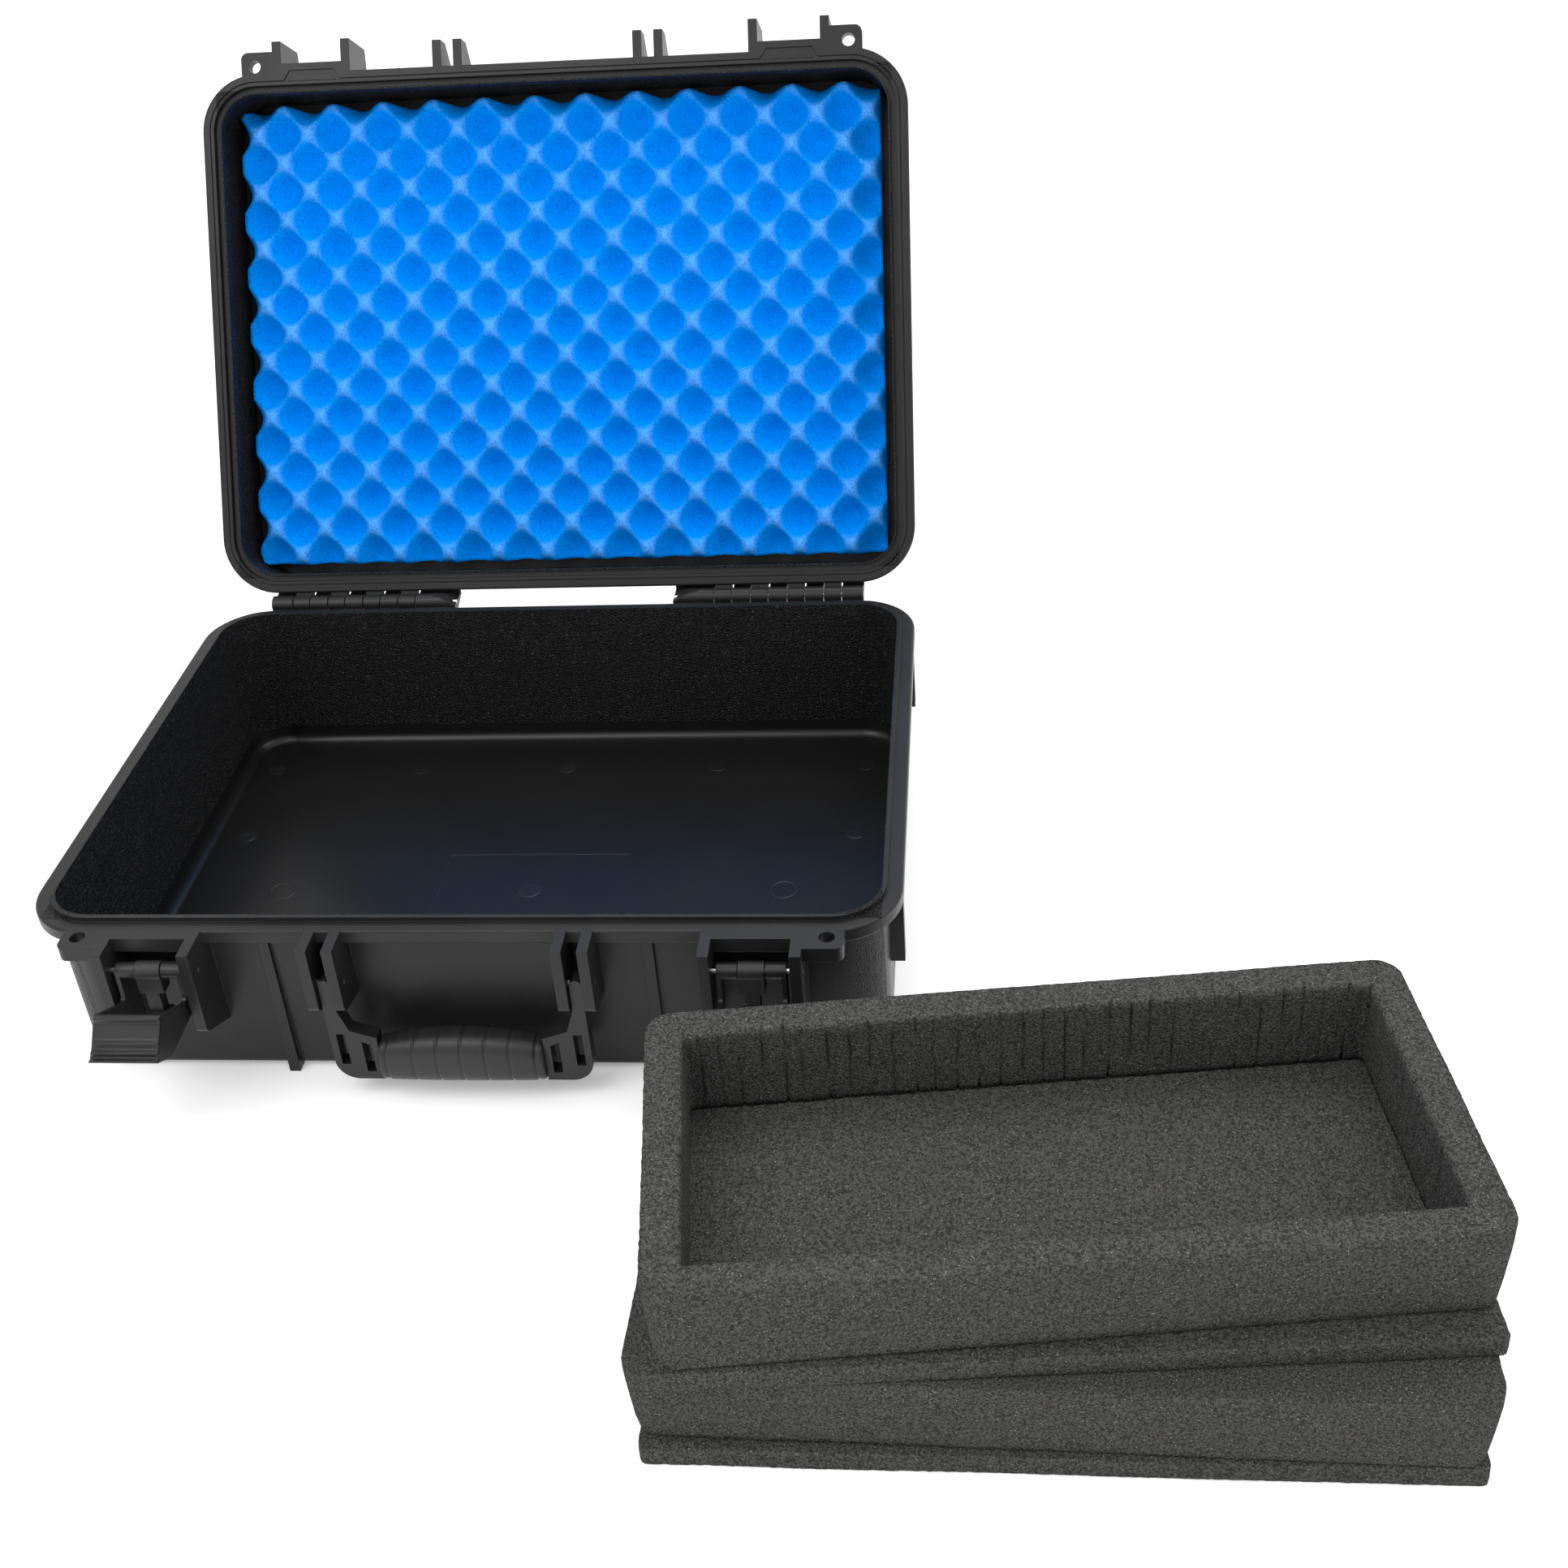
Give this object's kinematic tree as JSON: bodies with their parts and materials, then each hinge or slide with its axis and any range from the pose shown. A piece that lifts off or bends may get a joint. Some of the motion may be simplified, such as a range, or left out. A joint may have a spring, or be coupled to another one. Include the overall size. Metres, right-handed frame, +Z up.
{
  "type": "hard equipment case",
  "caption": "Ribbed plastic equipment case, lid open on its rear hinges, draw latches and handle at the front, egg-crate lid foam, loose grey foam inserts beside it.",
  "frame": {"origin": "centre of the base's underside, on the middle skid rail", "axes": "+Z up, +Y towards the hinges at the back, +X to the right seen from the front"},
  "size_m": [0.7778, 0.8506, 0.4686],
  "materials": {
    "case_plastic": "fine satin mould texture",
    "latch_plastic": "satin",
    "handle_plastic": "satin",
    "grip_rubber": "soft matte overmould",
    "seal_rubber": "matte",
    "pin_steel": "ground pin",
    "blue_foam": "open-cell foam",
    "grey_foam": "open-cell foam"
  },
  "bodies": {
    "base": {"base_shell": "case_plastic", "latch_pin_left": "pin_steel", "handle_pin_left": "pin_steel", "hinge_pin_left": "pin_steel", "latch_pin_right": "pin_steel", "handle_pin_right": "pin_steel", "hinge_pin_right": "pin_steel"},
    "lid": {"lid_shell": "case_plastic", "lid_gasket": "seal_rubber", "lid_foam": "blue_foam"},
    "handle": {"handle_frame": "handle_plastic", "handle_grip": "grip_rubber"},
    "latch_lever_left": {"latch_lever_left": "latch_plastic"},
    "latch_claw_left": {"latch_claw_left": "latch_plastic"},
    "latch_lever_right": {"latch_lever_right": "latch_plastic"},
    "latch_claw_right": {"latch_claw_right": "latch_plastic"},
    "foam_pad_base": {"foam_pad_base": "grey_foam"},
    "foam_block_lower": {"foam_block_lower": "grey_foam"},
    "foam_pad_upper": {"foam_pad_upper": "grey_foam"},
    "foam_frame": {"foam_frame": "grey_foam"}
  },
  "joints": [
    {"name": "lid_hinge", "type": "hinge", "parent": "base", "child": "lid", "pos_m": [0, 0.1932, 0.11], "axis": [1, 0, 0], "range_deg": [0, 116.3]},
    {"name": "latch_lever_swing_left", "type": "hinge", "parent": "base", "child": "latch_lever_left", "pos_m": [-0.1705, -0.198, 0.093], "axis": [-1, 0, 0], "range_deg": [0, 112]},
    {"name": "latch_claw_swing_left", "type": "hinge", "parent": "base", "child": "latch_claw_left", "pos_m": [-0.1705, -0.198, 0.093], "axis": [-1, 0, 0], "range_deg": [0, 180]},
    {"name": "latch_lever_swing_right", "type": "hinge", "parent": "base", "child": "latch_lever_right", "pos_m": [0.1705, -0.198, 0.093], "axis": [-1, 0, 0], "range_deg": [0, 112]},
    {"name": "latch_claw_swing_right", "type": "hinge", "parent": "base", "child": "latch_claw_right", "pos_m": [0.1705, -0.198, 0.093], "axis": [-1, 0, 0], "range_deg": [0, 180]},
    {"name": "handle_swing", "type": "hinge", "parent": "base", "child": "handle", "pos_m": [0, -0.195, 0.082], "axis": [-1, 0, 0], "range_deg": [0, 95]},
    {"name": "foam_pad_base_lift", "type": "slide", "parent": "base", "child": "foam_pad_base", "axis": [0, 0, 1], "range_m": [0, 0.25]},
    {"name": "foam_block_lower_lift", "type": "slide", "parent": "foam_pad_base", "child": "foam_block_lower", "axis": [0, 0, 1], "range_m": [0, 0.25]},
    {"name": "foam_pad_upper_lift", "type": "slide", "parent": "foam_block_lower", "child": "foam_pad_upper", "axis": [0, 0, 1], "range_m": [0, 0.25]},
    {"name": "foam_frame_lift", "type": "slide", "parent": "foam_pad_upper", "child": "foam_frame", "axis": [0, 0, 1], "range_m": [0, 0.25]}
  ]
}
